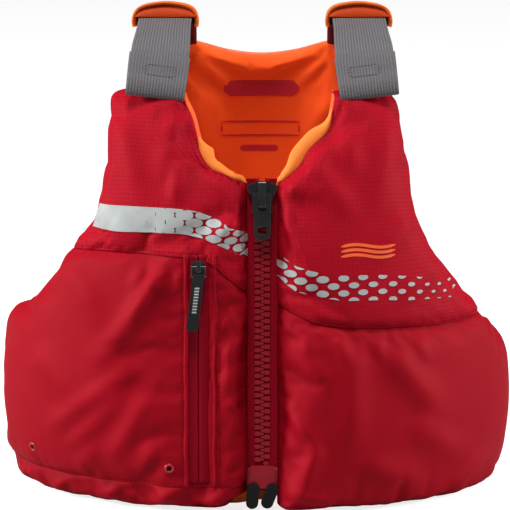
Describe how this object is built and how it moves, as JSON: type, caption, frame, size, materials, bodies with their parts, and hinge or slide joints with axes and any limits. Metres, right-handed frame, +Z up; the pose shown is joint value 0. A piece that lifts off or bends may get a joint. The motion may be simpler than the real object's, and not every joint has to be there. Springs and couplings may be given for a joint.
{
  "type": "life jacket",
  "caption": "Front-zip youth life jacket with foam-filled fronts and back, webbing shoulder and side straps, adjusters and a zipped front pocket.",
  "frame": {"origin": "centre of the body opening in the plane of the hem", "axes": "+Z up, -Y towards the front of the jacket, +X towards the wearer's left"},
  "size_m": [0.3414, 0.2559, 0.3189],
  "materials": {
    "red_fabric": "matt woven nylon",
    "red_ripstop": "matt ripstop nylon",
    "dark_red_fabric": "matt woven nylon",
    "orange_lining": "matt woven nylon",
    "orange_cap": "matt moulded",
    "foam": "closed-cell foam, hidden",
    "grey_webbing": "ribbed woven webbing",
    "black_webbing": "woven webbing",
    "red_tape": "woven tape",
    "red_plastic": "moulded",
    "black_metal": "satin enamel",
    "black_wire": "satin enamel",
    "black_rubber": "matt moulded",
    "black_plastic": "moulded acetal"
  },
  "bodies": {
    "back": {"back_cover": "red_fabric", "back_lining": "orange_lining", "back_foam_inner": "foam", "back_foam_outer": "foam", "left_shoulder_pad": "dark_red_fabric", "left_shoulder_cap": "orange_cap", "left_shoulder_webbing": "grey_webbing", "left_side_webbing": "grey_webbing", "right_shoulder_pad": "dark_red_fabric", "right_shoulder_cap": "orange_cap", "right_shoulder_webbing": "grey_webbing", "right_side_webbing": "grey_webbing"},
    "right_front": {"right_pocket_panel": "red_fabric", "right_yoke_cover": "red_ripstop", "right_hem_band": "red_fabric", "right_lining": "orange_lining", "right_foam_inner": "foam", "right_foam_outer": "foam", "right_zip_tape": "red_tape", "right_zip_teeth": "red_plastic", "right_zip_tab": "black_webbing", "pocket_zip_tape": "red_tape", "pocket_zip_coil": "red_plastic", "drain_eyelets": "red_plastic", "right_shoulder_bar": "black_plastic", "right_side_anchor": "grey_webbing"},
    "left_front": {"left_lower_cover": "red_fabric", "left_yoke_cover": "red_ripstop", "left_lining": "orange_lining", "left_foam_inner": "foam", "left_foam_outer": "foam", "left_zip_tape": "red_tape", "left_zip_teeth": "red_plastic", "left_zip_tab": "black_webbing", "left_shoulder_bar": "black_plastic", "left_side_anchor": "grey_webbing"},
    "main_slider": {"main_slider": "black_metal"},
    "main_pull": {"main_pull": "black_metal"},
    "pocket_slider": {"pocket_slider": "black_metal"},
    "pocket_pull": {"pocket_pull_ring": "black_wire", "pocket_pull_tab": "black_rubber"},
    "left_shoulder_lock": {"left_shoulder_lock": "black_plastic"},
    "right_shoulder_lock": {"right_shoulder_lock": "black_plastic"},
    "left_side_lock": {"left_side_lock": "black_plastic"},
    "right_side_lock": {"right_side_lock": "black_plastic"}
  },
  "joints": [
    {"name": "right_front_open", "type": "hinge", "parent": "back", "child": "right_front", "pos_m": [-0.165, 0.02, 0.06], "axis": [-0.3382, 0.0727, -0.9383], "range_deg": [0, 35], "deforming": ["right_shoulder_webbing", "right_side_webbing"]},
    {"name": "left_front_open", "type": "hinge", "parent": "back", "child": "left_front", "pos_m": [0.165, 0.02, 0.06], "axis": [-0.3382, -0.0727, 0.9383], "range_deg": [0, 35], "deforming": ["left_shoulder_webbing", "left_side_webbing"]},
    {"name": "main_slider_run", "type": "slide", "parent": "right_front", "child": "main_slider", "axis": [0, -0.0971, -0.9953], "range_m": [0, 0.162], "deforming": ["right_zip_teeth", "left_zip_teeth", "left_zip_tape"]},
    {"name": "main_pull_swing", "type": "hinge", "parent": "main_slider", "child": "main_pull", "pos_m": [0, -0.09584, 0.20469], "axis": [-1, 0, 0], "range_deg": [0, 165]},
    {"name": "pocket_slider_run", "type": "slide", "parent": "right_front", "child": "pocket_slider", "axis": [0, -0.073, -0.9973], "range_m": [0, 0.118], "deforming": ["pocket_zip_coil"]},
    {"name": "pocket_pull_swing", "type": "hinge", "parent": "pocket_slider", "child": "pocket_pull", "pos_m": [-0.041, -0.11489, 0.16073], "axis": [-1, 0, 0], "range_deg": [0, 150]},
    {"name": "left_shoulder_lock_tilt", "type": "hinge", "parent": "back", "child": "left_shoulder_lock", "pos_m": [0.064, 0.0085, 0.3086], "axis": [1, 0, 0], "range_deg": [-8, 8]},
    {"name": "left_side_lock_tilt", "type": "hinge", "parent": "left_front", "child": "left_side_lock", "pos_m": [0.152, 0.0167, 0.062], "axis": [0, 0, -1], "range_deg": [0, 40]},
    {"name": "right_shoulder_lock_tilt", "type": "hinge", "parent": "back", "child": "right_shoulder_lock", "pos_m": [-0.064, 0.0085, 0.3086], "axis": [1, 0, 0], "range_deg": [-8, 8]},
    {"name": "right_side_lock_tilt", "type": "hinge", "parent": "right_front", "child": "right_side_lock", "pos_m": [-0.152, 0.0167, 0.062], "axis": [0, 0, 1], "range_deg": [0, 40]}
  ],
  "couplings": [
    {"joint": "left_front_open", "follows": "right_front_open", "ratio": 1},
    {"joint": "main_slider_run", "follows": "right_front_open", "m_per_rad": 0.26519}
  ]
}
